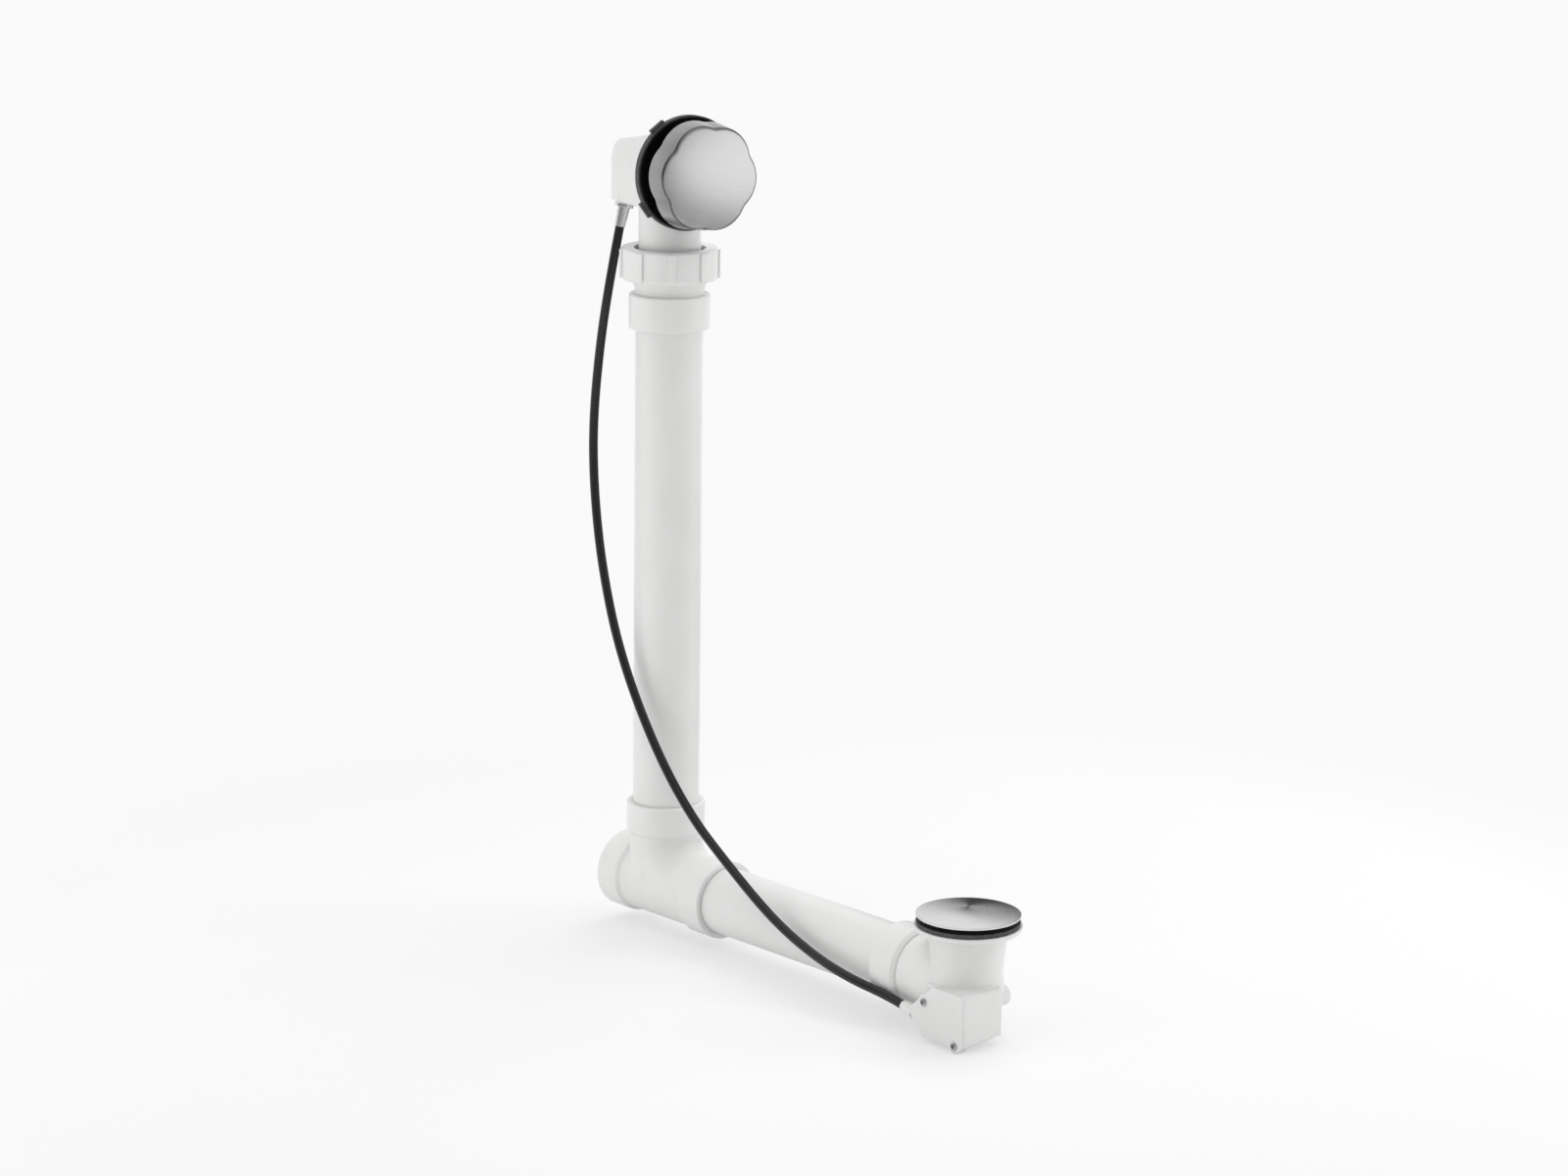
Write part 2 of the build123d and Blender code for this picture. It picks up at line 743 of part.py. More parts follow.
# Cable: a metal ferrule at the head, the sheath, and a plastic nipple at the shoe.
with BuildPart() as cable_ferrule:
    flange_end = ferrule_boss_end + ferrule_flange
    lathe(
        upper_line,
        [
            (wire_bore / 2, ferrule_boss_end),
            (ferrule_flange_od / 2, ferrule_boss_end),
            (ferrule_flange_od / 2, flange_end),
            (ferrule_top_od / 2, flange_end),
            (ferrule_tip_od / 2, ferrule_low),
            (wire_bore / 2, ferrule_low),
        ],
    )
save(cable_ferrule, "cable_ferrule")

runs = [(b - a) for a, b in zip(cable_route, cable_route[1:])]
bends = []
for before, after in zip(runs, runs[1:]):
    half_turn = radians(before.get_angle(after)) / 2
    bends.append(bend_share * min(before.length, after.length) / tan(half_turn))
print("cable bend radii", [round(bend) for bend in bends])

with BuildPart() as cable_sheath:
    with BuildLine() as cable_line:
        FilletPolyline(*cable_route, radius=bends)
    with BuildSketch(wire_plane(cable_start, -pull_up)):
        Circle(cable_od / 2)
    sweep(path=cable_line.line)
    cable_length = sum(edge.length for edge in cable_line.edges())
    swept_share = cable_sheath.part.volume / (pi * cable_od**2 / 4 * cable_length)
    print("cable length", round(cable_length, 1), "swept share", round(swept_share, 4))
    disc(wire_plane(cable_start, -pull_up), wire_bore, 0, upper_sheath_bore, Mode.SUBTRACT)
    disc(wire_plane(cable_finish, -push), wire_bore, 0, lower_sheath_bore, Mode.SUBTRACT)
save(cable_sheath, "cable_sheath")

nipple_plane = wire_plane(cable_finish, push)
with BuildPart() as cable_nipple:
    nipple_r = nipple_od / 2
    lathe(
        nipple_plane,
        [
            (wire_bore / 2, 0),
            (nipple_r - rim_chamfer, 0),
            (nipple_r, nipple_nose),
            (nipple_r, nipple_shoulder),
            (nipple_spigot_od / 2, nipple_shoulder),
            (nipple_spigot_od / 2, nipple_length + box_wall),
            (wire_bore / 2, nipple_length + box_wall),
        ],
    )
save(cable_nipple, "cable_nipple")

# Drain shoe: a hub and elbow in line with the waste pipe, a tapered cup, a flange on top,
# and a flat-sided mechanism box that is open on the cable side.
drain_plane = up_plane(0, 0, 0)
shoe_plane = along_plane(-shoe_hub_end, 0, waste_z)
box_plane = Plane(origin=(0, -box_face, waste_z), x_dir=(1, 0, 0), z_dir=(0, -1, 0))
cup_r = cup_bore / 2
box_root = box_face + box_inner_side
root_inset = box_root * tan(radians(box_draft))
root_plane = box_plane.offset(-box_root)
upper_screw = (-box_left + upper_screw_in, box_roof - upper_screw_down)
lower_screw = (box_right - lower_screw_in, -box_floor + lower_screw_up)
box_places = (upper_screw, lower_screw)


def elbow_section(radius):
    """Half section of a rod along the waste axis that ends in a ball under the drain."""
    with BuildSketch(Plane.XZ) as section:
        with BuildLine():
            start, end = (-shoe_hub_end, waste_z), (radius, waste_z)
            Polyline(end, start, (-shoe_hub_end, waste_z + radius), (0, waste_z + radius))
            RadiusArc((0, waste_z + radius), end, radius)
        make_face()
    return section.sketch


def box_outline(inset, corner_radius):
    """Outline of the mechanism box, seen from the cable side."""
    left, right = -box_left + inset, box_right - inset
    roof, floor = box_roof - inset, -box_floor + inset
    cut_slope = atan2(box_cut_rise, box_cut_run)
    shoulder_slope = atan2(box_shoulder_drop, box_shoulder_run)
    upright = radians(90)
    with BuildLine() as outline:
        FilletPolyline(
            (right, roof),
            (-box_left + box_shoulder_run + inset * tan(shoulder_slope / 2), roof),
            (left, box_roof - box_shoulder_drop - inset * tan((upright - shoulder_slope) / 2)),
            (left, -box_floor + box_cut_rise + inset * tan((upright - cut_slope) / 2)),
            (-box_left + box_cut_run + inset * tan(cut_slope / 2), floor),
            (right, floor),
            radius=corner_radius,
            close=True,
        )
    make_face(outline.edges())


# The cup runs out onto the box's roof in a hollow curve.
with BuildPart() as cup_root:
    with BuildSketch(Plane.XZ):
        with BuildLine():
            root_r = cup_waist_r + cup_foot
            root_z = waste_z + box_roof - cup_foot_sink
            root_top = (cup_waist_r, root_z + cup_foot)
            Polyline(root_top, (0, root_top[1]), (0, waste_z), (root_r, waste_z), (root_r, root_z))
            TangentArc((root_r, root_z), root_top, tangent=(-1, 0))
        make_face()
    revolve(axis=Axis.Z)
    split(bisect_by=Plane.XZ, keep=Keep.TOP)

with BuildPart() as cable_boss:
    disc(nipple_plane, nipple_boss_od, nipple_shoulder + loose_gap, nipple_length + nipple_boss_depth)
    split(bisect_by=box_plane, keep=Keep.BOTTOM)

with BuildPart() as shaft_boss:
    with BuildSketch(Plane(origin=(shaft_x, 0, shaft_z), x_dir=(1, 0, 0), z_dir=(0, 1, 0))):
        Circle(shaft_boss_od / 2)
    extrude(amount=shaft_boss_end)
    fillet(shaft_boss.faces().sort_by(Axis.Y)[-1].edges(), shaft_boss_round)

with BuildPart() as drain_shoe:
    revolve(elbow_section(elbow_r), axis=Axis((0, 0, waste_z), (1, 0, 0)))
    lathe(shoe_plane, hub_outline(hub_length) + [(0, hub_length + hub_shoulder)])
    lathe(
        drain_plane,
        [
            (0, waste_z),
            (cup_waist_r, waste_z),
            (cup_waist_r, flange_low_z - cup_taper),
            (cup_top_r, flange_low_z),
            (shoe_flange_od / 2 - rim_chamfer, flange_low_z),
            (shoe_flange_od / 2, flange_low_z + rim_chamfer),
            (shoe_flange_od / 2, flange_top_z),
            (0, flange_top_z),
        ],
    )
    with BuildSketch(box_plane):
        box_outline(0, box_corner)
    with BuildSketch(root_plane):
        box_outline(root_inset, box_corner)
    loft(ruled=True)
    with BuildSketch(box_plane):
        with Locations(*box_places):
            Circle(screw_boss_od / 2)
    extrude(amount=-screw_boss_depth)
    add(cup_root.part)
    add(cable_boss.part)
    add(shaft_boss.part)
    revolve(elbow_section(cup_r), axis=Axis((0, 0, waste_z), (1, 0, 0)), mode=Mode.SUBTRACT)
    disc(shoe_plane, socket_r * 2, 0, socket_depth, Mode.SUBTRACT)
    disc(drain_plane, cup_bore, waste_z, flange_top_z, Mode.SUBTRACT)
    tube_seat = strainer_depth + cup_land
    disc(drain_plane, strainer_tube_od + running_gap * 2, -tube_seat, flange_top_z, Mode.SUBTRACT)
    with BuildSketch(box_plane):
        box_outline(box_wall, bay_corner)
        with Locations(*box_places):
            Circle(screw_post_od / 2, mode=Mode.SUBTRACT)
    extrude(amount=-bay_depth, mode=Mode.SUBTRACT)
    with BuildSketch(box_plane):
        with Locations(*box_places):
            Circle(cover_screw_od / 2)
    extrude(amount=-cover_screw_depth, mode=Mode.SUBTRACT)
    disc(nipple_plane, nipple_spigot_od, nipple_shoulder, nipple_length + box_wall * 2, Mode.SUBTRACT)
    disc(nipple_plane, wire_bore, nipple_length, nipple_length + nipple_boss_depth, Mode.SUBTRACT)
    shaft_line = Plane(origin=(shaft_x, -box_face, shaft_z), x_dir=(1, 0, 0), z_dir=(0, 1, 0))
    disc(shaft_line, shaft_od + running_gap * 2, 0, box_face + shaft_end + loose_gap, Mode.SUBTRACT)
save(drain_shoe, "drain_shoe")

with BuildPart() as shoe_cover:
    with BuildSketch(box_plane):
        box_outline(0, box_corner)
        with Locations(*box_places):
            Circle(screw_boss_od / 2)
            Circle(cover_screw_od / 2 + hole_gap, mode=Mode.SUBTRACT)
    extrude(amount=cover_thickness)
    fillet(shoe_cover.faces().sort_by(Axis.Y)[0].outer_wire().edges(), cover_rim_round)
save(shoe_cover, "shoe_cover")

with BuildPart() as cover_screws:
    for place in box_places:
        seat = Plane(
            origin=(place[0], -box_face - cover_thickness, waste_z + place[1]),
            x_dir=(1, 0, 0),
            z_dir=(0, -1, 0),
        )
        head_r = cover_screw_head_od / 2
        lathe(
            seat,
            [
                (0, -cover_thickness - cover_screw_depth),
                (cover_screw_od / 2, -cover_thickness - cover_screw_depth),
                (cover_screw_od / 2, 0),
                (head_r, 0),
                (head_r, cover_screw_head / 2),
                (head_r / 2, cover_screw_head),
                (0, cover_screw_head),
            ],
        )
        with BuildSketch(seat.offset(cover_screw_head)):
            Rectangle(cover_screw_cross, cover_screw_slot)
            Rectangle(cover_screw_slot, cover_screw_cross)
        extrude(amount=-cover_screw_recess, mode=Mode.SUBTRACT)
save(cover_screws, "cover_screws")

with BuildPart() as shoe_gasket:
    ring(drain_plane, shoe_gasket_od, strainer_tube_od + hole_gap * 2, flange_top_z, 0)
save(shoe_gasket, "shoe_gasket")

# Strainer: a flanged tube screwed into the cup, with spokes that carry the stem's guide.
strainer_flange_r = cap_od / 2 - cap_overhang
with BuildPart() as strainer:
    lathe(
        drain_plane,
        [
            (strainer_bore / 2, -strainer_depth),
            (strainer_tube_od / 2, -strainer_depth),
            (strainer_tube_od / 2, 0),
            (strainer_flange_r, 0),
            (strainer_flange_r, strainer_flange / 2),
            (strainer_bore / 2 + strainer_flange, strainer_flange),
            (strainer_bore / 2, strainer_flange / 2),
        ],
    )
    with BuildSketch(up_plane(0, 0, -strainer_depth)):
        with PolarLocations(strainer_bore / 4, strainer_spokes):
            Rectangle(strainer_bore / 2 + strainer_flange / 2, spoke_width)
    extrude(amount=spoke_height)
    disc(drain_plane, guide_od, -strainer_depth, -strainer_depth + guide_height)
    disc(
        drain_plane,
        stem_od + running_gap * 2,
        -strainer_depth,
        -strainer_depth + guide_height,
        Mode.SUBTRACT,
    )
save(strainer, "strainer")

# Cross shaft with a crank in the box and a lifting arm under the stopper's stem.
cross_line = Plane(origin=(shaft_x, 0, shaft_z), x_dir=(1, 0, 0), z_dir=(0, 1, 0))
with BuildPart() as cross_shaft:
    disc(cross_line, shaft_od, -crank_outer, shaft_end)
save(cross_shaft, "cross_shaft")

pin_along = shoe_crank_radius * sin(half_lift)
pin_down = -shoe_crank_radius * cos(half_lift)
with BuildPart() as shoe_crank:
    with BuildSketch(push_plane(crank_inner)):
        crank_shape(lever_hub_od, (pin_along, pin_down))
    extrude(amount=shoe_crank_thickness)
    with BuildSketch(push_plane(crank_outer)):
        with Locations((pin_along, pin_down)):
            Circle(pin_od / 2)
    extrude(amount=pin_reach - crank_outer)
    disc(cross_line, shaft_od + running_gap, -crank_outer, -crank_inner, Mode.SUBTRACT)
save(shoe_crank, "shoe_crank")

tip_place = (-lift_arm_radius * cos(half_lift), -lift_arm_radius * sin(half_lift))
with BuildPart() as lift_arm:
    with BuildSketch(Plane(origin=(shaft_x, 0, shaft_z), x_dir=(1, 0, 0), z_dir=(0, -1, 0))):
        Circle(lever_hub_od / 2)
        SlotCenterPoint((tip_place[0] / 2, tip_place[1] / 2), tip_place, arm_tip_od)
    extrude(amount=lift_arm_thickness / 2, both=True)
    disc(cross_line, shaft_od + running_gap, -lift_arm_thickness, lift_arm_thickness, Mode.SUBTRACT)
save(lift_arm, "lift_arm")

# Plunger: a slotted plate about the crank's pin, on a bar in line with the wire.
shoe_slot_length = shoe_crank_radius * (1 - cos(half_lift)) + slot_width
slot_middle = -shoe_crank_radius * (1 + cos(half_lift)) / 2
plate_top = slot_middle + (shoe_slot_length + plunger_wrap) / 2
plate_half = (slot_width + plunger_wrap) / 2
bar_back = pin_along - plate_half - plunger_tail
bar_low = -wire_drop - plunger_bar / 2
with BuildPart() as plunger:
    with BuildSketch(push_plane(plunger_inner)):
        with BuildLine():
            Polyline(
                (pin_along + plate_half, plate_top),
                (pin_along - plate_half, plate_top),
                (pin_along - plate_half, bar_low + plunger_bar),
                (bar_back, bar_low + plunger_bar),
                (bar_back, bar_low),
                (pin_along + plate_half, bar_low),
                close=True,
            )
        make_face()
        with Locations((pin_along, slot_middle)):
            SlotOverall(shoe_slot_length, slot_width, rotation=90, mode=Mode.SUBTRACT)
    extrude(amount=plunger_thickness)
save(plunger, "plunger")

with BuildPart() as lower_wire:
    lower_line = wire_plane(wire_line, -push)
    disc(lower_line, wire_od, -bar_back, nipple_face + nipple_length - lower_wire_shy)
save(lower_wire, "lower_wire")

# Stopper: a domed cap over a rubber seal, on a stem that the lifting arm raises.
cap_r = cap_od / 2
cap_inner_r = cap_r - cap_wall
cap_sphere_r = (cap_r**2 + cap_dome**2) / (2 * cap_dome)
cap_rim_z = cap_height + cap_edge
stem_top_z = cap_rim_z + cap_dome - cap_wall * 2
with BuildPart() as stopper_cap:
    with BuildSketch(Plane.XZ):
        with BuildLine():
            crown = (0, cap_rim_z + cap_dome)
            rim = (cap_r, cap_rim_z)
            inner_rim = (cap_inner_r, cap_rim_z - cap_edge / 2)
            Polyline(crown, (0, crown[1] - cap_wall))
            RadiusArc((0, crown[1] - cap_wall), inner_rim, cap_sphere_r)
            Polyline(inner_rim, (cap_inner_r, cap_height), (cap_r, cap_height), rim)
            RadiusArc(rim, crown, -cap_sphere_r)
        make_face()
    revolve(axis=Axis.Z)
    disc(drain_plane, cap_boss_od, cap_height, cap_rim_z + cap_dome - cap_wall)
    disc(drain_plane, stem_od + running_gap, cap_height, stem_top_z + running_gap, Mode.SUBTRACT)
save(stopper_cap, "stopper_cap")

seal_low_z = cap_height - seal_thickness
with BuildPart() as stopper_seal:
    seal_r = cap_r - seal_lip_width
    lathe(
        drain_plane,
        [
            (seal_bore / 2, seal_low_z),
            (seal_r - seal_lip_width * 2, seal_low_z),
            (seal_r - seal_lip_width * 2, seal_low_z - seal_lip),
            (seal_r, seal_low_z - seal_lip),
            (seal_r, cap_height),
            (seal_bore / 2, cap_height),
        ],
    )
save(stopper_seal, "stopper_seal")

with BuildPart() as stopper_stem:
    with BuildSketch(Plane.XZ):
        with BuildLine():
            nib_r, nib_low = stem_nib_od / 2, nib_z - stem_nib_od / 2
            Polyline(
                (nib_r, nib_z),
                (stem_od / 2, nib_z + stem_nib_taper),
                (stem_od / 2, stem_top_z),
                (0, stem_top_z),
                (0, nib_low),
            )
            RadiusArc((0, nib_low), (nib_r, nib_z), -nib_r)
        make_face()
    revolve(axis=Axis.Z)
    disc(drain_plane, seal_bore - stem_disc_gap * 2, seal_low_z, cap_height)
save(stopper_stem, "stopper_stem")
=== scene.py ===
import json
import math

import bmesh
import bpy
from mathutils import Matrix, Vector


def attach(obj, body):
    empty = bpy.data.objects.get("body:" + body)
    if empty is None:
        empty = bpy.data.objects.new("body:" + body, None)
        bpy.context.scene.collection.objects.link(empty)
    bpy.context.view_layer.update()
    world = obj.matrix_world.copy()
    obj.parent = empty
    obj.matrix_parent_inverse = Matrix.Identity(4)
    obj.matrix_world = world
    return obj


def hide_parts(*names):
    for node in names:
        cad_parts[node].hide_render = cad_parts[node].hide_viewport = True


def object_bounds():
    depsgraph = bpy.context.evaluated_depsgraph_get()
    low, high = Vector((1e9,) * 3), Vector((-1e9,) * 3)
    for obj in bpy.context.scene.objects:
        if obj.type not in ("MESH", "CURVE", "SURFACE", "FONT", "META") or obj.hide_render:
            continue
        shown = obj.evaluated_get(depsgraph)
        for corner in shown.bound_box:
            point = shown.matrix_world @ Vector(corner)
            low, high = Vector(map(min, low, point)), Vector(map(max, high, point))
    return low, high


# Looks for a cable-operated bath waste and overflow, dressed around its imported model.
# Lengths are in metres and angles in degrees, in the model's frame: +Z up, the drain at the origin.

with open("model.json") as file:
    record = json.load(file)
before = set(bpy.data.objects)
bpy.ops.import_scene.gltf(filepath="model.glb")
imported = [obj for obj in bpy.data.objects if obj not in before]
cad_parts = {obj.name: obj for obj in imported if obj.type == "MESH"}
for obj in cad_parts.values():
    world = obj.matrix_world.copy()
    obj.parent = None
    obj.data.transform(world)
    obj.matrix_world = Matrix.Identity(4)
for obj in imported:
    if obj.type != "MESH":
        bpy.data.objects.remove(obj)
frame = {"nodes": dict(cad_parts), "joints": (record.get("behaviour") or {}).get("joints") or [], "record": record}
cad_low, cad_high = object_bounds()
nodes = frame["nodes"]
joints = {joint["name"]: joint for joint in frame["joints"]}
mounts = {mount["name"]: mount for mount in frame["record"]["mounts"]}

# Camera, fitted to the photograph, with its lens and sensor in millimetres
CAMERA_PLACE = Vector((2.0059, -1.9817, 0.88875))
CAMERA_AZIMUTH = 47.94
CAMERA_ELEVATION = 13.19
CAMERA_ROLL = 0.75
CAMERA_LENS = 100.0
CAMERA_SENSOR = 36.0
CAMERA_REACH = 50.0

# Stage: what the camera and reflections see, the floor, and the darker surround behind the camera
BACKGROUND = 0.955
FLOOR_COLOUR = 0.90
FLOOR_LIFT = 0.52
FLOOR_SIZE = 8.0
FLOOR_GAP = 0.0002
FLOOR_FADE_START = 0.35
FLOOR_FADE_END = 0.80
STAGE_ROUGHNESS = 0.9
AMBIENT = 0.60
DARK_SIDE = 0.30
DARK_SIDE_AZIMUTH = 15.0
DARK_SIDE_NEAR = 25.0
DARK_SIDE_FAR = 75.0

# Where the low softbox points along the waste pipe
LOW_LIGHT_X = -0.15

# Materials: the darker and the lighter tone of each
MOULDED_TONES = ((0.745, 0.743, 0.735), (0.775, 0.774, 0.768))
PIPE_TONES = ((0.735, 0.733, 0.726), (0.765, 0.764, 0.758))
BRUSHED_TONES = ((0.74, 0.74, 0.745), (0.86, 0.86, 0.865))
NICKEL_TONES = ((0.70, 0.70, 0.705), (0.84, 0.84, 0.845))
SCREW_TONES = ((0.44, 0.44, 0.445), (0.58, 0.58, 0.585))
SHAFT_TONES = ((0.44, 0.44, 0.45), (0.56, 0.56, 0.57))
BRASS_TONES = ((0.64, 0.47, 0.22), (0.78, 0.60, 0.30))
GASKET_TONES = ((0.056, 0.056, 0.058), (0.084, 0.084, 0.086))
SEAL_TONES = ((0.004, 0.004, 0.004), (0.008, 0.008, 0.008))
PLATE_TONES = ((0.0025, 0.0025, 0.0025), (0.0045, 0.0045, 0.0045))
SLIDE_TONES = ((0.72, 0.71, 0.68), (0.80, 0.79, 0.76))
CABLE_TONES = ((0.004, 0.004, 0.004), (0.007, 0.007, 0.007))

# The range that holds most of a noise's values, and samples for eased edges and for painted shade in recesses
NOISE_LOW = 0.3
NOISE_HIGH = 0.7
EDGE_SAMPLES = 6
RECESS_SHADE_SAMPLES = 12

# Fineness of the stopper's spun rings
RING_SCALE = 2600.0
RING_DETAIL = 3.0

# Light that white plastic lets through, and how deep
PLASTIC_GLOW = 0.35
PLASTIC_DEPTH = 0.003

# The knob's painted shade: its tone as a share of its face's, by how far the surface faces forward: painted darker
# sides, a painted dark rim, face. It stands in for the darker surroundings that the metal reflects.
KNOB_PAINTED_SHADE = ((0.14, 0.42), (0.26, 0.15), (0.62, 0.15), (0.90, 0.38), (0.975, 1.0))

# The knob's sides: their roughness as a share of the face's, and the facings between which it changes
SIDE_POLISH = 0.5
SIDE_END = 0.3
FACE_START = 0.9

# Knob: the solid's sizes, with scallops that deepen towards the face and a softer rim
KNOB_BACK = 0.0405
KNOB_EDGE = 0.0565
KNOB_DOME = 0.0046
KNOB_FLOOR = 0.0546
KNOB_BACK_RADIUS = 0.0396
KNOB_FRONT_RADIUS = 0.0377
KNOB_BACK_SCALLOP = 0.0021
KNOB_FRONT_SCALLOP = 0.0028
KNOB_VALLEY_RADIUS = 0.012
KNOB_LOBES = 6
KNOB_PHASE = -6.6
KNOB_RIM = 0.0018
KNOB_RIM_STEPS = 6
KNOB_FACE_STEPS = 24
KNOB_POINTS = 240
KNOB_CAVITY_RADIUS = 0.0341
KNOB_BOSS_BACK = 0.0372
KNOB_BOSS_RADIUS = 0.0075
KNOB_BORE_RADIUS = 0.004025
KNOB_SCREW_RADIUS = 0.0020
KNOB_KEY_RADIUS = 0.0027
KNOB_SHARP_ANGLE = 40.0
DRILL_SIDES = 32

# Parting line along the tee
SEAM_WIDTH = 0.0006
SEAM_RISE = 6.0

# Cards that metal reflects: a dark oval behind the stopper, and a frame with an oval window before the knob
CARD_PLACE = (-0.232, 0.326, 0.07)
CARD_TARGET = (0.0, 0.0, 0.07)
CARD_SIZE = (0.40, 0.56)
CARD_COLOUR = 0.03
CARD_CORE = 0.5
CARD_RIM = 1.0
FRAME_COLOUR = 0.16
FRAME_CORE = 0.7
FRAME_RIM = 1.2
FRAME_AZIMUTH = 34.0
FRAME_DISTANCE = 0.55
FRAME_SIZE = (1.6, 1.0)
FRAME_WINDOW = (1.06, 0.45)

# Cable, with the solid's corners, of which the second and third are moved to follow the photograph
CABLE_DIAMETER = 0.0065
CABLE_ORDER = 3
CABLE_ROUND_STEPS = 8
CABLE_LONG_STEPS = 24
CABLE_ROUTE = [
    (-0.35047, -0.01689, 0.43209),
    (-0.35160, -0.02490, 0.39514),
    (-0.36060, -0.02640, 0.34700),
    (-0.36450, -0.02950, 0.29050),
    (-0.36000, -0.03200, 0.24100),
    (-0.34750, -0.03450, 0.18600),
    (-0.32600, -0.03550, 0.12700),
    (-0.28950, -0.03400, 0.06600),
    (-0.25150, -0.03250, 0.02350),
    (-0.21250, -0.03250, -0.00250),
    (-0.16600, -0.03300, -0.03000),
    (-0.12600, -0.03350, -0.04550),
    (-0.08400, -0.03500, -0.05400),
    (-0.04631, -0.02820, -0.06046),
    (-0.03256, -0.02820, -0.06313),
]

# Places worked out from the frame
knob_joint = joints["knob_turn"]
head_centre = Vector(knob_joint["pos_m"])
head_forward = -Vector(knob_joint["axis"])
head_turn = math.atan2(-head_forward.y, head_forward.x)
object_centre = (cad_low + cad_high) / 2
waste_z = Vector(mounts["waste_outlet"]["pos_m"]).z


class Shader:
    """A new material's node tree, with a Principled surface and short ways to add nodes."""

    def __init__(self, name):
        self.material = bpy.data.materials.new(name)
        self.material.use_nodes = True
        self.tree = self.material.node_tree
        self.surface = self.tree.nodes["Principled BSDF"]

    def add(self, kind, **settings):
        node = self.tree.nodes.new(kind)
        for name, value in settings.items():
            setattr(node, name, value)
        return node

    def link(self, output, target):
        self.tree.links.new(output, target)

    def set(self, **values):
        for name, value in values.items():
            self.surface.inputs[name.replace("_", " ")].default_value = value

    def place(self):
        """The model's own coordinates, in metres."""
        return self.add("ShaderNodeTexCoord").outputs["Object"]

    def mapped(self, scale, rotation=(0, 0, 0)):
        """The model's coordinates turned and stretched, for grain that runs one way."""
        mapping = self.add("ShaderNodeMapping")
        mapping.inputs["Rotation"].default_value = rotation
        mapping.inputs["Scale"].default_value = scale
        self.link(self.place(), mapping.inputs["Vector"])
        return mapping.outputs["Vector"]

    def noise(self, vector, scale, detail=3.0, roughness=0.5):
        noise = self.add("ShaderNodeTexNoise")
        noise.inputs["Scale"].default_value = scale
        noise.inputs["Detail"].default_value = detail
        noise.inputs["Roughness"].default_value = roughness
        self.link(vector, noise.inputs["Vector"])
        return noise.outputs["Fac"]

    def spread(self, factor, low, high):
        """A factor about its middle, spread between two values."""
        spread = self.add("ShaderNodeMapRange")
        spread.inputs["From Min"].default_value = NOISE_LOW
        spread.inputs["From Max"].default_value = NOISE_HIGH
        spread.inputs["To Min"].default_value = low
        spread.inputs["To Max"].default_value = high
        self.link(factor, spread.inputs["Value"])
        return spread.outputs["Result"]

    def roughen(self, factor, low, high):
        """Roughness spread between two values by a factor."""
        self.link(self.spread(factor, low, high), self.surface.inputs["Roughness"])

    def colours(self, factor, tones):
        """A base colour between a darker and a lighter tone, by a factor."""
        ramp = self.add("ShaderNodeValToRGB")
        for stop, position, tone in zip(ramp.color_ramp.elements, (NOISE_LOW, NOISE_HIGH), tones):
            stop.position = position
            stop.color = (*tone, 1.0)
        self.link(factor, ramp.inputs["Fac"])
        self.link(ramp.outputs["Color"], self.surface.inputs["Base Color"])
        return ramp.outputs["Color"]

    def bump(self, height, strength, distance, edge):
        """Fine relief on a surface whose sharp edges are eased by a radius."""
        eased = self.add("ShaderNodeBevel", samples=EDGE_SAMPLES)
        eased.inputs["Radius"].default_value = edge
        bump = self.add("ShaderNodeBump")
        bump.inputs["Strength"].default_value = strength
        bump.inputs["Distance"].default_value = distance
        self.link(height, bump.inputs["Height"])
        self.link(eased.outputs["Normal"], bump.inputs["Normal"])
        self.link(bump.outputs["Normal"], self.surface.inputs["Normal"])


def white_plastic(name):
    """The start of a white plastic, which lets a little light in."""
    shader = Shader(name)
    shader.set(Subsurface_Weight=PLASTIC_GLOW, Subsurface_Scale=PLASTIC_DEPTH)
    shader.set(Subsurface_Radius=(1.0, 1.0, 1.0))
    return shader


def moulded_white(name, seam_height=None):
    """White moulded plastic: faint cloudy tone, satin skin, fine texture and perhaps a level parting line."""
    shader = white_plastic(name)
    place = shader.place()
    relief = shader.noise(place, scale=1500.0, detail=2.0)
    if seam_height is not None:
        split = shader.add("ShaderNodeSeparateXYZ")
        shader.link(place, split.inputs["Vector"])
        near = shader.add("ShaderNodeMath", operation="COMPARE")
        near.inputs[1].default_value = seam_height
        near.inputs[2].default_value = SEAM_WIDTH / 2
        shader.link(split.outputs["Z"], near.inputs[0])
        raised = shader.add("ShaderNodeMath", operation="MULTIPLY_ADD")
        raised.inputs[1].default_value = SEAM_RISE
        shader.link(near.outputs["Value"], raised.inputs[0])
        shader.link(relief, raised.inputs[2])
        relief = raised.outputs["Value"]
    shader.colours(shader.noise(place, scale=38.0), MOULDED_TONES)
    shader.roughen(shader.noise(place, scale=120.0), low=0.30, high=0.40)
    shader.bump(relief, strength=0.12, distance=0.00008, edge=0.0009)
    return shader.material


def extruded_white(name, scale):
    """White pipe: fine drag lines along its length."""
    shader = white_plastic(name)
    grain = shader.noise(shader.mapped(scale), scale=1.0, detail=4.0)
    shader.colours(shader.noise(shader.place(), scale=24.0), PIPE_TONES)
    shader.roughen(grain, low=0.30, high=0.38)
    shader.bump(grain, strength=0.10, distance=0.00006, edge=0.0006)
    return shader.material


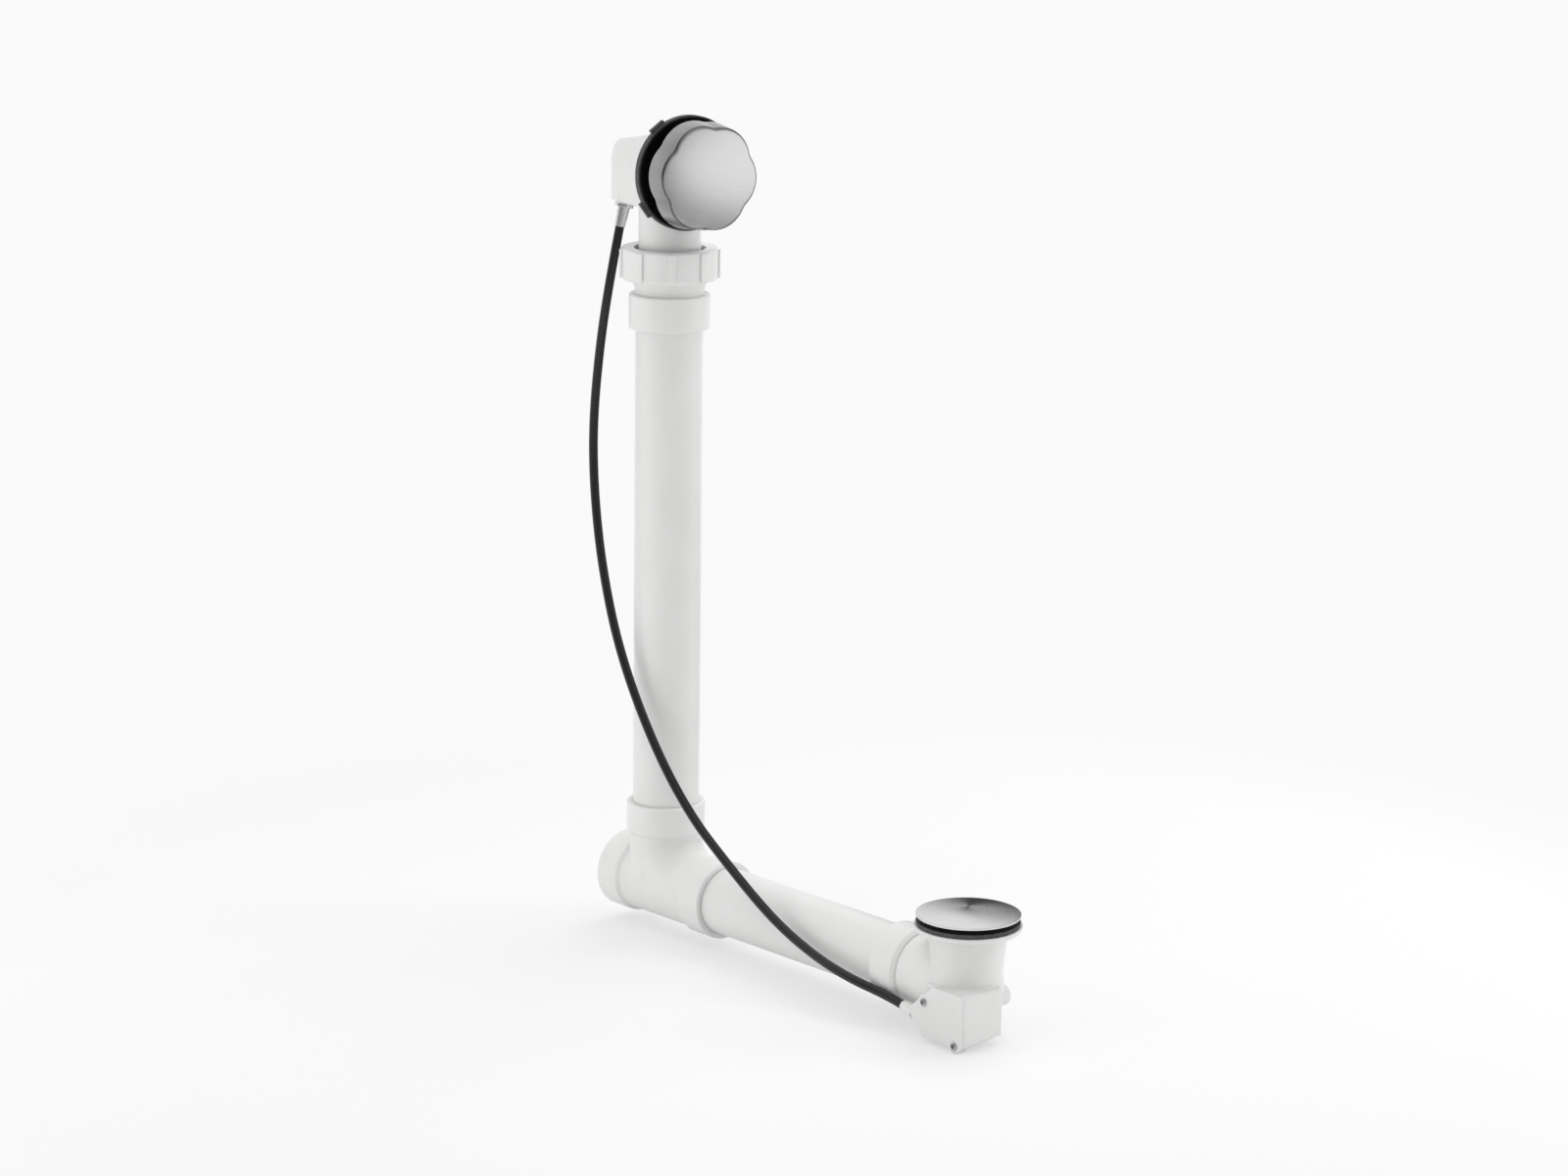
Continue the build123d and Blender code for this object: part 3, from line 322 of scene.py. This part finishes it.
def brushed_metal(name, forward, scale, rotation=(0, 0, 0)):
    """Nickel with a face brushed one way in fine streaks and smoother sides, with a painted dark rim and painted
    darker sides for the darker surroundings it reflects.
    """
    shader = Shader(name)
    shader.set(Metallic=1.0, Anisotropic=0.5, Anisotropic_Rotation=0.25)
    along = shader.add("ShaderNodeVectorMath", operation="CROSS_PRODUCT")
    along.inputs[1].default_value = (0.0, 0.0, 1.0)
    normal = shader.add("ShaderNodeNewGeometry").outputs["Normal"]
    shader.link(normal, along.inputs[0])
    shader.link(along.outputs["Vector"], shader.surface.inputs["Tangent"])
    grain = shader.noise(shader.mapped(scale, rotation), scale=1.0, detail=4.0, roughness=0.6)
    colour = shader.colours(grain, BRUSHED_TONES)
    facing = shader.add("ShaderNodeVectorMath", operation="DOT_PRODUCT")
    facing.inputs[1].default_value = forward
    shader.link(normal, facing.inputs[0])
    # Painted shade: the colour is scaled down on the rim and the sides by how far the surface faces forward.
    painted_rim_shade = shader.add("ShaderNodeValToRGB")
    stops = painted_rim_shade.color_ramp.elements
    while len(stops) < len(KNOB_PAINTED_SHADE):
        stops.new(1.0)
    for stop, (position, share) in zip(stops, KNOB_PAINTED_SHADE):
        stop.position = position
        stop.color = (share, share, share, 1.0)
    shader.link(facing.outputs["Value"], painted_rim_shade.inputs["Fac"])
    tone = shader.add("ShaderNodeVectorMath", operation="SCALE")
    shader.link(colour, tone.inputs["Vector"])
    shader.link(painted_rim_shade.outputs["Color"], tone.inputs["Scale"])
    shader.link(tone.outputs["Vector"], shader.surface.inputs["Base Color"])
    polish = shader.add("ShaderNodeMapRange")
    polish.inputs["From Min"].default_value = SIDE_END
    polish.inputs["From Max"].default_value = FACE_START
    polish.inputs["To Min"].default_value = SIDE_POLISH
    shader.link(facing.outputs["Value"], polish.inputs["Value"])
    rough = shader.add("ShaderNodeMath", operation="MULTIPLY")
    shader.link(shader.spread(grain, low=0.27, high=0.36), rough.inputs[0])
    shader.link(polish.outputs["Result"], rough.inputs[1])
    shader.link(rough.outputs["Value"], shader.surface.inputs["Roughness"])
    shader.bump(grain, strength=0.06, distance=0.00004, edge=0.0008)
    return shader.material


def spun_metal(name):
    """Nickel spun about the drain's axis: fine rings, and highlights that fan out from the middle."""
    shader = Shader(name)
    shader.set(Metallic=1.0, Anisotropic=0.75, Anisotropic_Rotation=0.0)
    tangent = shader.add("ShaderNodeTangent", direction_type="RADIAL", axis="Z")
    shader.link(tangent.outputs["Tangent"], shader.surface.inputs["Tangent"])
    flat = shader.add("ShaderNodeVectorMath", operation="MULTIPLY")
    flat.inputs[1].default_value = (1.0, 1.0, 0.0)
    shader.link(shader.place(), flat.inputs[0])
    radius = shader.add("ShaderNodeVectorMath", operation="LENGTH")
    shader.link(flat.outputs["Vector"], radius.inputs[0])
    rings = shader.add("ShaderNodeTexNoise", noise_dimensions="1D")
    rings.inputs["Scale"].default_value = RING_SCALE
    rings.inputs["Detail"].default_value = RING_DETAIL
    shader.link(radius.outputs["Value"], rings.inputs["W"])
    shader.colours(rings.outputs["Fac"], NICKEL_TONES)
    shader.roughen(rings.outputs["Fac"], low=0.26, high=0.36)
    shader.bump(rings.outputs["Fac"], strength=0.06, distance=0.00004, edge=0.0005)
    return shader.material


def plain_metal(name, tones, low, high, recess=None):
    """Bare metal with a cloudy polish, and perhaps painted shade that darkens recesses of a given depth."""
    shader = Shader(name)
    shader.set(Metallic=1.0)
    cloud = shader.noise(shader.place(), scale=700.0, detail=4.0)
    tone = shader.colours(cloud, tones)
    if recess is not None:
        # Painted shade: ambient occlusion darkens the colour in recesses, such as the screws' cross slots.
        painted_recess_shade = shader.add("ShaderNodeAmbientOcclusion", samples=RECESS_SHADE_SAMPLES, only_local=True)
        painted_recess_shade.inputs["Distance"].default_value = recess
        shader.link(tone, painted_recess_shade.inputs["Color"])
        shader.link(painted_recess_shade.outputs["Color"], shader.surface.inputs["Base Color"])
    shader.roughen(cloud, low, high)
    shader.bump(cloud, strength=0.05, distance=0.00003, edge=0.0003)
    return shader.material


def soft_plastic(name, tones, low, high, grain, depth, shine):
    """Rubber or plastic: a dusty cloud over a fine grain."""
    shader = Shader(name)
    shader.set(Specular_IOR_Level=shine)
    place = shader.place()
    shader.colours(shader.noise(place, scale=260.0, detail=5.0), tones)
    shader.roughen(shader.noise(place, scale=500.0), low, high)
    shader.bump(shader.noise(place, scale=grain), strength=0.2, distance=depth, edge=0.0005)
    return shader.material


def dress(material, *names):
    """Gives nodes their finished material."""
    for name in names:
        data = nodes[name].data
        data.materials.clear()
        data.materials.append(material)


def make_cable():
    """The black cable, one smooth line that rounds off the route's corners."""
    curve = bpy.data.curves.new("cable", "CURVE")
    curve.dimensions = "3D"
    curve.bevel_depth = 1.0
    curve.bevel_resolution = CABLE_ROUND_STEPS
    curve.resolution_u = CABLE_LONG_STEPS
    curve.use_fill_caps = True
    spline = curve.splines.new("NURBS")
    spline.points.add(len(CABLE_ROUTE) - 1)
    for point, place in zip(spline.points, CABLE_ROUTE):
        point.co = (*place, 1.0)
        point.radius = CABLE_DIAMETER / 2
    spline.order_u = CABLE_ORDER
    spline.use_endpoint_u = True
    cable = bpy.data.objects.new("cable", curve)
    bpy.context.scene.collection.objects.link(cable)
    return cable


def knob_reach(radius, scallop, angle):
    """How far the knob's edge lies from its axis at an angle: round lobes and valleys that meet smoothly."""
    half = math.pi / KNOB_LOBES
    offset = abs((angle - math.radians(KNOB_PHASE) + half) % (2 * half) - half)
    reach = radius + KNOB_VALLEY_RADIUS
    valley = reach - scallop
    centre = (reach**2 - valley**2) / (2 * (reach - valley * math.cos(half)))
    lobe = radius - centre
    way = math.atan2(valley * math.sin(half), valley * math.cos(half) - centre)
    meeting = math.atan2(lobe * math.sin(way), centre + lobe * math.cos(way))
    if offset < meeting:
        return centre * math.cos(offset) + math.sqrt(lobe**2 - (centre * math.sin(offset)) ** 2)
    beyond = half - offset
    return valley * math.cos(beyond) - math.sqrt(KNOB_VALLEY_RADIUS**2 - (valley * math.sin(beyond)) ** 2)


def knob_profile(angle):
    """The knob's section at an angle, from its bore out over the skirt and rim to near the face's middle."""
    back = Vector((KNOB_BACK, knob_reach(KNOB_BACK_RADIUS, KNOB_BACK_SCALLOP, angle)))
    front = knob_reach(KNOB_FRONT_RADIUS, KNOB_FRONT_SCALLOP, angle)

    def on_face(radius):
        return Vector((KNOB_EDGE + KNOB_DOME * (1 - (radius / KNOB_BACK_RADIUS) ** 2), radius))

    corner = on_face(front)
    rim_start = corner + (back - corner).normalized() * KNOB_RIM
    rim_end = on_face(front - KNOB_RIM)
    points = [
        Vector((KNOB_FLOOR, KNOB_BORE_RADIUS)),
        Vector((KNOB_BOSS_BACK, KNOB_BORE_RADIUS)),
        Vector((KNOB_BOSS_BACK, KNOB_BOSS_RADIUS)),
        Vector((KNOB_FLOOR, KNOB_BOSS_RADIUS)),
        Vector((KNOB_FLOOR, KNOB_CAVITY_RADIUS)),
        Vector((KNOB_BACK, KNOB_CAVITY_RADIUS)),
        back,
    ]
    for step in range(KNOB_RIM_STEPS + 1):
        share = step / KNOB_RIM_STEPS
        points.append(rim_start.lerp(corner, share).lerp(corner.lerp(rim_end, share), share))
    for step in range(1, KNOB_FACE_STEPS):
        points.append(on_face(rim_end.y * (1 - step / KNOB_FACE_STEPS)))
    return points


def make_drill(radius, start, end):
    """A cylinder that drills the knob from below, between two distances from its axis."""
    data = bpy.data.meshes.new("drill")
    mesh = bmesh.new()
    middle = head_centre + head_forward * (KNOB_BOSS_BACK + KNOB_FLOOR) / 2
    place = Matrix.Translation(middle - Vector((0, 0, (start + end) / 2)))
    bmesh.ops.create_cone(
        mesh,
        cap_ends=True,
        segments=DRILL_SIDES,
        radius1=radius,
        radius2=radius,
        depth=end - start,
        matrix=place,
    )
    mesh.to_mesh(data)
    mesh.free()
    drill = bpy.data.objects.new("drill", data)
    bpy.context.scene.collection.objects.link(drill)
    return drill


def make_knob():
    """The scalloped knob, drilled for its set screw and the key that turns it."""
    across = Vector((0, 0, 1)).cross(head_forward)
    vertices, faces = [], []
    angles = [2 * math.pi * number / KNOB_POINTS for number in range(KNOB_POINTS)]
    sections = [knob_profile(angle) for angle in angles]
    rings = len(sections[0])
    for ring in range(rings):
        for angle, section in zip(angles, sections):
            depth, radius = section[ring]
            away = across * math.cos(angle) + Vector((0, 0, 1)) * math.sin(angle)
            vertices.append(head_centre + head_forward * depth + away * radius)
    for ring in range(rings - 1):
        for number in range(KNOB_POINTS):
            following = (number + 1) % KNOB_POINTS
            low, high = ring * KNOB_POINTS, (ring + 1) * KNOB_POINTS
            faces.append((low + number, low + following, high + following, high + number))
    for ring, depth in ((0, KNOB_FLOOR), (rings - 1, KNOB_EDGE + KNOB_DOME)):
        pole = len(vertices)
        vertices.append(head_centre + head_forward * depth)
        for number in range(KNOB_POINTS):
            edge = (ring * KNOB_POINTS + number, ring * KNOB_POINTS + (number + 1) % KNOB_POINTS)
            faces.append((pole, *(edge if ring else reversed(edge))))
    mesh = bpy.data.meshes.new("scalloped_knob")
    mesh.from_pydata(vertices, [], faces)
    knob = bpy.data.objects.new("scalloped_knob", mesh)
    bpy.context.scene.collection.objects.link(knob)
    drills = [
        make_drill(KNOB_SCREW_RADIUS, KNOB_BORE_RADIUS / 2, KNOB_BOSS_RADIUS * 2),
        make_drill(KNOB_KEY_RADIUS, KNOB_BOSS_RADIUS * 2, KNOB_BACK_RADIUS * 2),
    ]
    for drill in drills:
        cut = knob.modifiers.new("drill", "BOOLEAN")
        cut.operation = "DIFFERENCE"
        cut.solver = "EXACT"
        cut.object = drill
    finished = knob.evaluated_get(bpy.context.evaluated_depsgraph_get())
    knob.data = bpy.data.meshes.new_from_object(finished)
    knob.modifiers.clear()
    for drill in drills:
        bpy.data.objects.remove(drill)
    knob.data.shade_smooth()
    knob.data.set_sharp_from_angle(angle=math.radians(KNOB_SHARP_ANGLE))
    return knob


def make_camera():
    """A camera that sees the object as the photograph does."""
    azimuth, elevation = math.radians(CAMERA_AZIMUTH), math.radians(CAMERA_ELEVATION)
    level = math.cos(elevation)
    back = Vector((math.sin(azimuth) * level, -math.cos(azimuth) * level, math.sin(elevation)))
    right = Vector((math.cos(azimuth), math.sin(azimuth), 0.0))
    up = back.cross(right)
    turned = Matrix((right, up, back)).transposed().to_4x4()
    roll = Matrix.Rotation(math.radians(CAMERA_ROLL), 4, "Z")
    data = bpy.data.cameras.new("camera")
    data.lens = CAMERA_LENS
    data.sensor_width = CAMERA_SENSOR
    data.clip_end = CAMERA_REACH
    camera = bpy.data.objects.new("camera", data)
    camera.matrix_world = Matrix.Translation(CAMERA_PLACE) @ turned @ roll
    bpy.context.scene.collection.objects.link(camera)
    bpy.context.scene.camera = camera


def make_floor():
    """A pale floor that keeps the shadow near the object and fades into the background."""
    half = FLOOR_SIZE / 2
    corners = [(-half, -half, 0), (half, -half, 0), (half, half, 0), (-half, half, 0)]
    mesh = bpy.data.meshes.new("floor")
    mesh.from_pydata(corners, [], [(0, 1, 2, 3)])
    floor = bpy.data.objects.new("floor", mesh)
    floor.location = (object_centre.x, object_centre.y, cad_low.z - FLOOR_GAP)
    bpy.context.scene.collection.objects.link(floor)
    shader = Shader("floor")
    shader.set(Base_Color=(FLOOR_COLOUR, FLOOR_COLOUR, FLOOR_COLOUR, 1.0))
    shader.set(Roughness=STAGE_ROUGHNESS, Specular_IOR_Level=0.0)
    glow = shader.add("ShaderNodeEmission")
    glow.inputs["Color"].default_value = (BACKGROUND, BACKGROUND, BACKGROUND, 1.0)
    distance = shader.add("ShaderNodeVectorMath", operation="LENGTH")
    shader.link(shader.place(), distance.inputs[0])
    fade = shader.add("ShaderNodeMapRange", interpolation_type="SMOOTHSTEP")
    fade.inputs["From Min"].default_value = FLOOR_FADE_START
    fade.inputs["From Max"].default_value = FLOOR_FADE_END
    shader.link(distance.outputs["Value"], fade.inputs["Value"])
    lift = shader.add("ShaderNodeMath", operation="MULTIPLY")
    lift.inputs[1].default_value = FLOOR_LIFT
    shader.link(shader.add("ShaderNodeLightPath").outputs["Is Camera Ray"], lift.inputs[0])
    share = shader.add("ShaderNodeMath", operation="MAXIMUM")
    shader.link(fade.outputs["Result"], share.inputs[0])
    shader.link(lift.outputs["Value"], share.inputs[1])
    mix = shader.add("ShaderNodeMixShader")
    shader.link(share.outputs["Value"], mix.inputs["Fac"])
    shader.link(shader.surface.outputs["BSDF"], mix.inputs[1])
    shader.link(glow.outputs["Emission"], mix.inputs[2])
    shader.link(mix.outputs["Shader"], shader.tree.nodes["Material Output"].inputs["Surface"])
    mesh.materials.append(shader.material)


def make_world():
    """A pale surround for the camera and for reflections, darker behind the camera, and a softer fill."""
    world = bpy.data.worlds.new("world")
    bpy.context.scene.world = world
    world.use_nodes = True
    tree = world.node_tree
    background = tree.nodes["Background"]
    background.inputs["Color"].default_value = (1.0, 1.0, 1.0, 1.0)
    turn = math.radians(DARK_SIDE_AZIMUTH)
    facing = tree.nodes.new("ShaderNodeVectorMath")
    facing.operation = "DOT_PRODUCT"
    facing.inputs[1].default_value = (math.sin(turn), -math.cos(turn), 0.0)
    tree.links.new(tree.nodes.new("ShaderNodeTexCoord").outputs["Generated"], facing.inputs[0])
    mirrored = tree.nodes.new("ShaderNodeMapRange")
    mirrored.interpolation_type = "SMOOTHSTEP"
    mirrored.inputs["From Min"].default_value = math.cos(math.radians(DARK_SIDE_FAR))
    mirrored.inputs["From Max"].default_value = math.cos(math.radians(DARK_SIDE_NEAR))
    mirrored.inputs["To Min"].default_value = BACKGROUND
    mirrored.inputs["To Max"].default_value = DARK_SIDE
    tree.links.new(facing.outputs["Value"], mirrored.inputs["Value"])
    path = tree.nodes.new("ShaderNodeLightPath")
    bounced = tree.nodes.new("ShaderNodeMath")
    bounced.operation = "MAXIMUM"
    tree.links.new(path.outputs["Is Glossy Ray"], bounced.inputs[0])
    tree.links.new(path.outputs["Is Transmission Ray"], bounced.inputs[1])
    unseen = tree.nodes.new("ShaderNodeMapRange")
    unseen.inputs["To Min"].default_value = AMBIENT
    tree.links.new(bounced.outputs["Value"], unseen.inputs["Value"])
    tree.links.new(mirrored.outputs["Result"], unseen.inputs["To Max"])
    strength = tree.nodes.new("ShaderNodeMapRange")
    strength.inputs["To Max"].default_value = BACKGROUND
    tree.links.new(path.outputs["Is Camera Ray"], strength.inputs["Value"])
    tree.links.new(unseen.outputs["Result"], strength.inputs["To Min"])
    tree.links.new(strength.outputs["Result"], background.inputs["Strength"])


def make_softbox(name, turn, rise, distance, size, power, aim=object_centre, spread=180.0):
    """A large soft lamp turned from the camera's side, with a grid where its spread is narrow."""
    data = bpy.data.lights.new(name, "AREA")
    data.shape = "RECTANGLE"
    data.size, data.size_y = size
    data.energy = power
    data.spread = math.radians(spread)
    lamp = bpy.data.objects.new(name, data)
    azimuth, elevation = math.radians(CAMERA_AZIMUTH + turn), math.radians(rise)
    level = math.cos(elevation)
    away = Vector((math.sin(azimuth) * level, -math.cos(azimuth) * level, math.sin(elevation)))
    lamp.location = aim + away * distance
    lamp.rotation_mode = "QUATERNION"
    lamp.rotation_quaternion = away.to_track_quat("Z", "Y")
    lamp.visible_camera = False
    lamp.visible_glossy = False
    bpy.context.scene.collection.objects.link(lamp)


def make_card(name, place, towards, size, window, core, rim, colour):
    """A dark card that only reflections show, as a photographer stands one by bright metal.

    It is dark inside its oval, or around it where the oval is a window, and the oval's edge is soft.
    """
    width, height = size
    corners = [(-width / 2, -height / 2, 0), (width / 2, -height / 2, 0)]
    corners += [(width / 2, height / 2, 0), (-width / 2, height / 2, 0)]
    mesh = bpy.data.meshes.new(name)
    mesh.from_pydata(corners, [], [(0, 1, 2, 3)])
    card = bpy.data.objects.new(name, mesh)
    card.location = place
    card.rotation_mode = "QUATERNION"
    card.rotation_quaternion = (Vector(towards) - Vector(place)).to_track_quat("Z", "Y")
    card.visible_camera = False
    card.visible_diffuse = False
    card.visible_shadow = False
    bpy.context.scene.collection.objects.link(card)
    shader = Shader(name)
    shader.set(Base_Color=(colour, colour, colour, 1.0), Roughness=STAGE_ROUGHNESS, Specular_IOR_Level=0.0)
    oval = window or size
    reach = shader.add("ShaderNodeVectorMath", operation="LENGTH")
    shader.link(shader.mapped((2 / oval[0], 2 / oval[1], 1)), reach.inputs[0])
    fade = shader.add("ShaderNodeMapRange", interpolation_type="SMOOTHSTEP")
    fade.inputs["From Min"].default_value = core
    fade.inputs["From Max"].default_value = rim
    shader.link(reach.outputs["Value"], fade.inputs["Value"])
    mix = shader.add("ShaderNodeMixShader")
    dark, clear = (2, 1) if window else (1, 2)
    shader.link(fade.outputs["Result"], mix.inputs["Fac"])
    shader.link(shader.surface.outputs["BSDF"], mix.inputs[dark])
    shader.link(shader.add("ShaderNodeBsdfTransparent").outputs["BSDF"], mix.inputs[clear])
    shader.link(mix.outputs["Shader"], shader.tree.nodes["Material Output"].inputs["Surface"])
    mesh.materials.append(shader.material)


make_camera()
make_floor()
make_world()
make_card("stopper_card", CARD_PLACE, CARD_TARGET, CARD_SIZE, None, CARD_CORE, CARD_RIM, CARD_COLOUR)
frame_turn = math.radians(FRAME_AZIMUTH)
frame_place = head_centre + Vector((math.cos(frame_turn), math.sin(frame_turn), 0.0)) * FRAME_DISTANCE
make_card(
    "knob_frame", frame_place, head_centre, FRAME_SIZE, FRAME_WINDOW, FRAME_CORE, FRAME_RIM, FRAME_COLOUR
)
make_softbox("left_softbox", turn=-80, rise=-6, distance=1.2, size=(1.0, 0.8), power=4)
make_softbox("right_softbox", turn=92, rise=15, distance=1.6, size=(0.8, 1.4), power=8.5)
make_softbox("key_softbox", turn=145, rise=62, distance=1.8, size=(1.1, 1.1), power=13)
make_softbox("top_softbox", turn=-60, rise=65, distance=1.8, size=(1.0, 1.0), power=4)
make_softbox(
    "low_softbox",
    turn=-50,
    rise=35,
    distance=1.0,
    size=(0.9, 0.6),
    power=0.15,
    aim=Vector((LOW_LIGHT_X, 0, waste_z)),
    spread=60,
)

knob = make_knob()
knob_nickel = brushed_metal("knob_nickel", head_forward, scale=(60, 60, 4200), rotation=(0, 0, head_turn))
knob.data.materials.append(knob_nickel)
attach(knob, "knob")
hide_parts("knob")

cable = make_cable()
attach(cable, "root")
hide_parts("cable_sheath")

dress(moulded_white("tee_white", waste_z), "tee")
dress(
    moulded_white("moulded_white"),
    "overflow_head",
    "head_side_cover",
    "slip_nut",
    "slip_adapter",
    "drain_shoe",
    "shoe_cover",
    "cable_nipple",
)
dress(extruded_white("overflow_pipe_white", scale=(900, 900, 6)), "overflow_pipe")
dress(extruded_white("waste_pipe_white", scale=(6, 900, 900)), "waste_pipe")
dress(spun_metal("stopper_nickel"), "stopper_cap", "strainer")
dress(plain_metal("ferrule_metal", NICKEL_TONES, low=0.12, high=0.20), "cable_ferrule")
# The screws get painted shade in their recesses.
dress(
    plain_metal("screw_steel", SCREW_TONES, low=0.20, high=0.32, recess=0.0016),
    "cover_screws",
    "plate_screws",
    "knob_set_screw",
)
dress(
    plain_metal("shaft_steel", SHAFT_TONES, low=0.28, high=0.40),
    "cross_shaft",
    "head_crank",
    "shoe_crank",
    "lift_arm",
    "upper_wire",
    "lower_wire",
)
dress(plain_metal("brass", BRASS_TONES, low=0.24, high=0.36), "spindle", "stopper_stem")
gasket_rubber = soft_plastic(
    "gasket_rubber", GASKET_TONES, low=0.50, high=0.62, grain=1800.0, depth=0.0001, shine=0.25
)
seal_rubber = soft_plastic(
    "seal_rubber", SEAL_TONES, low=0.42, high=0.55, grain=1800.0, depth=0.0001, shine=0.04
)
black_plastic = soft_plastic(
    "black_plastic", PLATE_TONES, low=0.45, high=0.60, grain=2600.0, depth=0.00006, shine=0.05
)
slide_plastic = soft_plastic(
    "slide_plastic", SLIDE_TONES, low=0.35, high=0.45, grain=1500.0, depth=0.00006, shine=0.5
)
cable_vinyl = soft_plastic(
    "cable_vinyl", CABLE_TONES, low=0.28, high=0.38, grain=2200.0, depth=0.00004, shine=0.5
)
dress(gasket_rubber, "overflow_gasket", "shoe_gasket")
dress(seal_rubber, "stopper_seal", "spindle_seal", "slip_washer")
dress(black_plastic, "overflow_plate")
dress(slide_plastic, "slider", "plunger")
cable.data.materials.append(cable_vinyl)

bpy.context.scene.view_settings.view_transform = "Standard"
